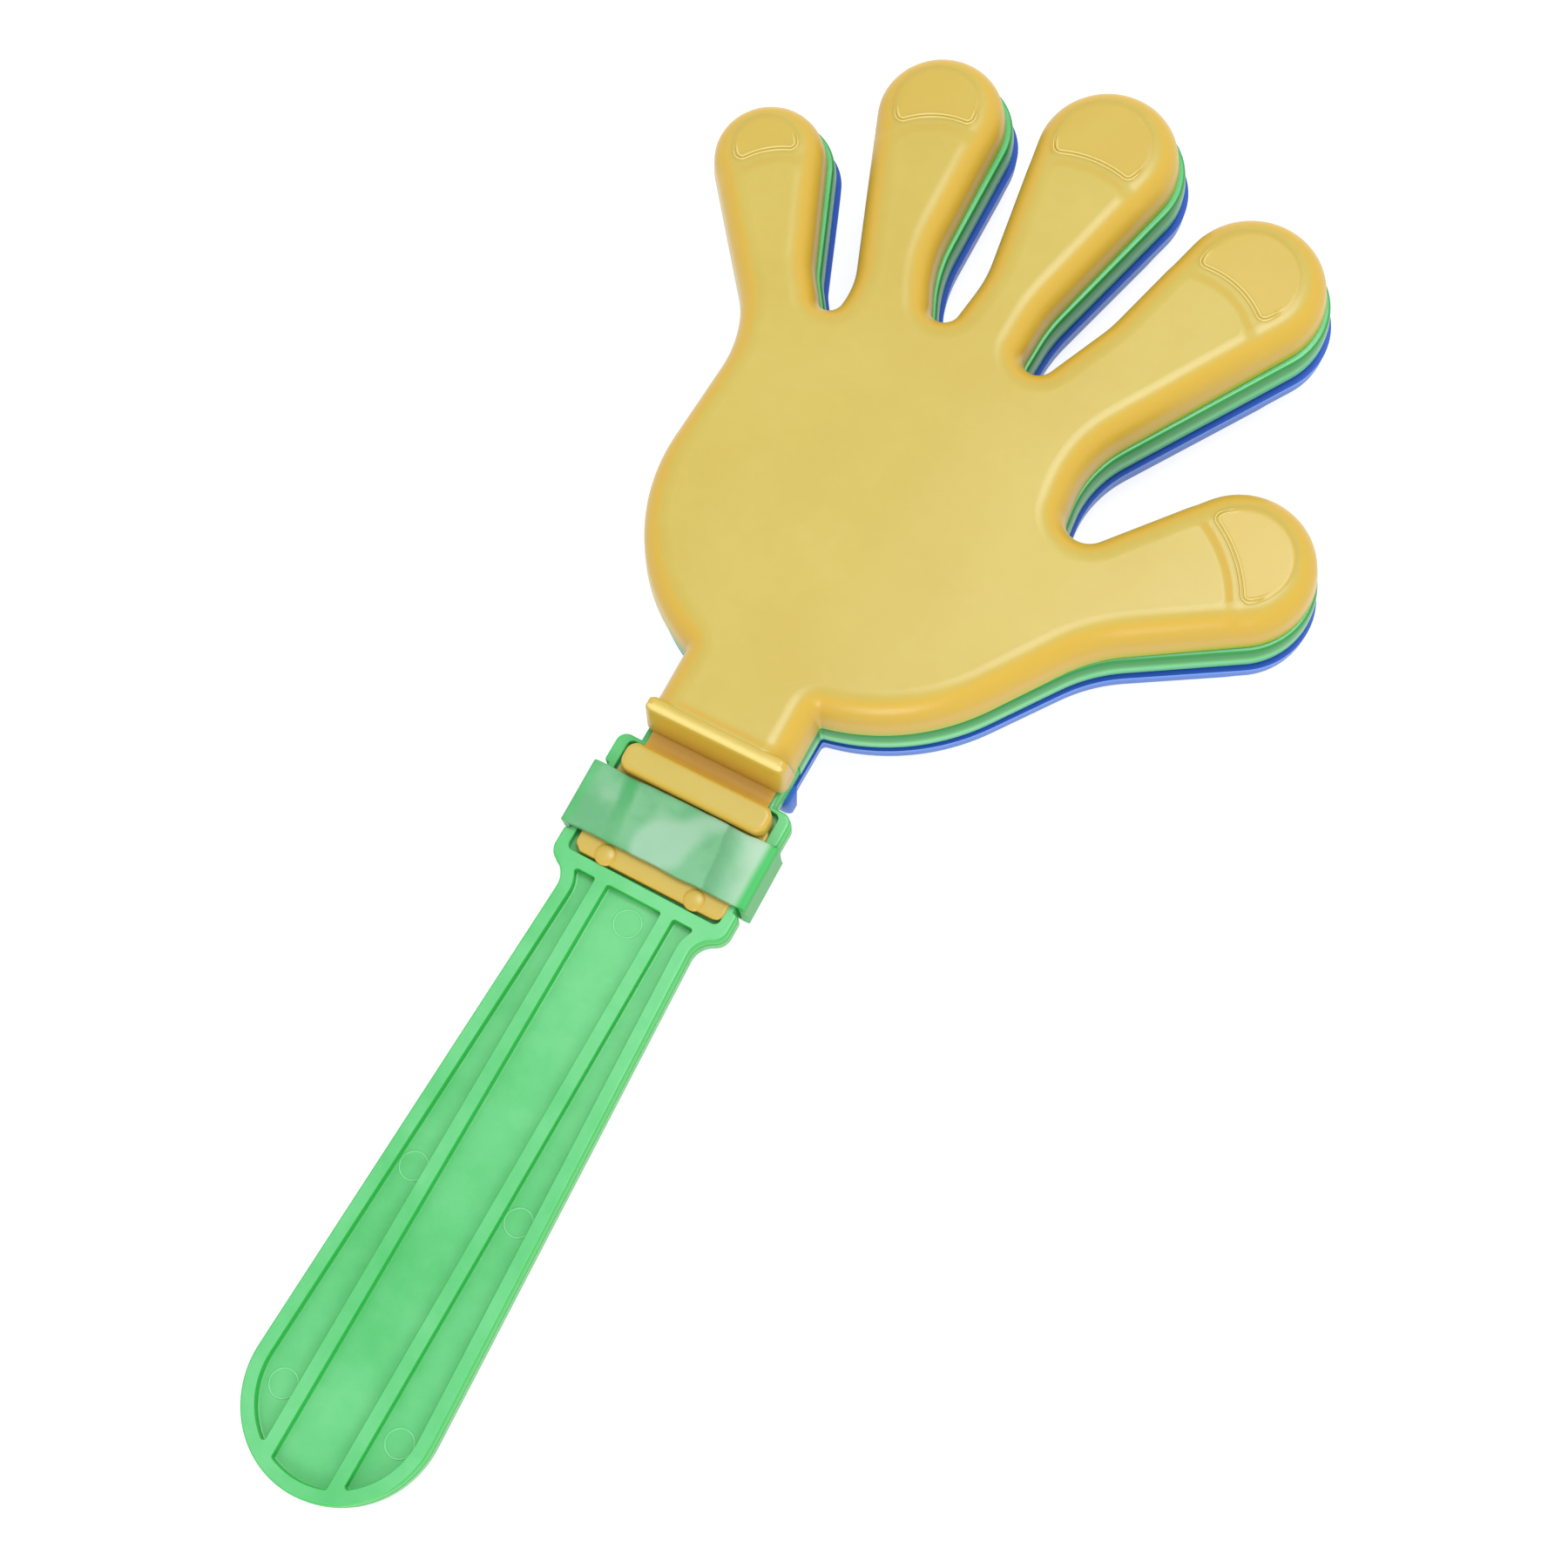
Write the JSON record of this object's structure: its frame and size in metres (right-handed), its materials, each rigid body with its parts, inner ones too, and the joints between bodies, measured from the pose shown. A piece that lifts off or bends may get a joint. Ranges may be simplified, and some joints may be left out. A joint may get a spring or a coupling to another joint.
{
  "type": "hand clapper",
  "caption": "Hand clapper: a flat handle with a middle hand, and two hollow outer hands on living hinges that clap against it.",
  "frame": {"origin": "on the face of the back hand, below the middle of the palm", "axes": "+X towards the thumb side, +Y along the handle towards the fingertips, +Z out of the front hand's face"},
  "size_m": [0.1357, 0.2833, 0.0242],
  "materials": {
    "green_plastic": "glossy moulded polypropylene",
    "yellow_plastic": "glossy moulded polypropylene",
    "blue_plastic": "glossy moulded polypropylene",
    "pale_green_plastic": "glossy, a little see-through, with scuffed edges"
  },
  "bodies": {
    "grip": {"handle": "green_plastic", "clasp_sleeve": "pale_green_plastic", "front_hinge_foot": "yellow_plastic", "front_living_hinge": "yellow_plastic", "back_hinge_foot": "blue_plastic", "back_living_hinge": "blue_plastic"},
    "front_hand": {"front_palm": "yellow_plastic"},
    "back_hand": {"back_palm": "blue_plastic"}
  },
  "joints": [
    {"name": "front_hinge", "type": "hinge", "parent": "grip", "child": "front_hand", "pos_m": [0.00028, -0.0521, 0.0149], "axis": [0.9999, 0.0133, 0], "range_deg": [0, 65], "deforming": ["front_living_hinge"]},
    {"name": "back_hinge", "type": "hinge", "parent": "grip", "child": "back_hand", "pos_m": [-0.00001, -0.0521, 0.0083], "axis": [-1, 0.0065, 0], "range_deg": [0, 65], "deforming": ["back_living_hinge"]}
  ]
}
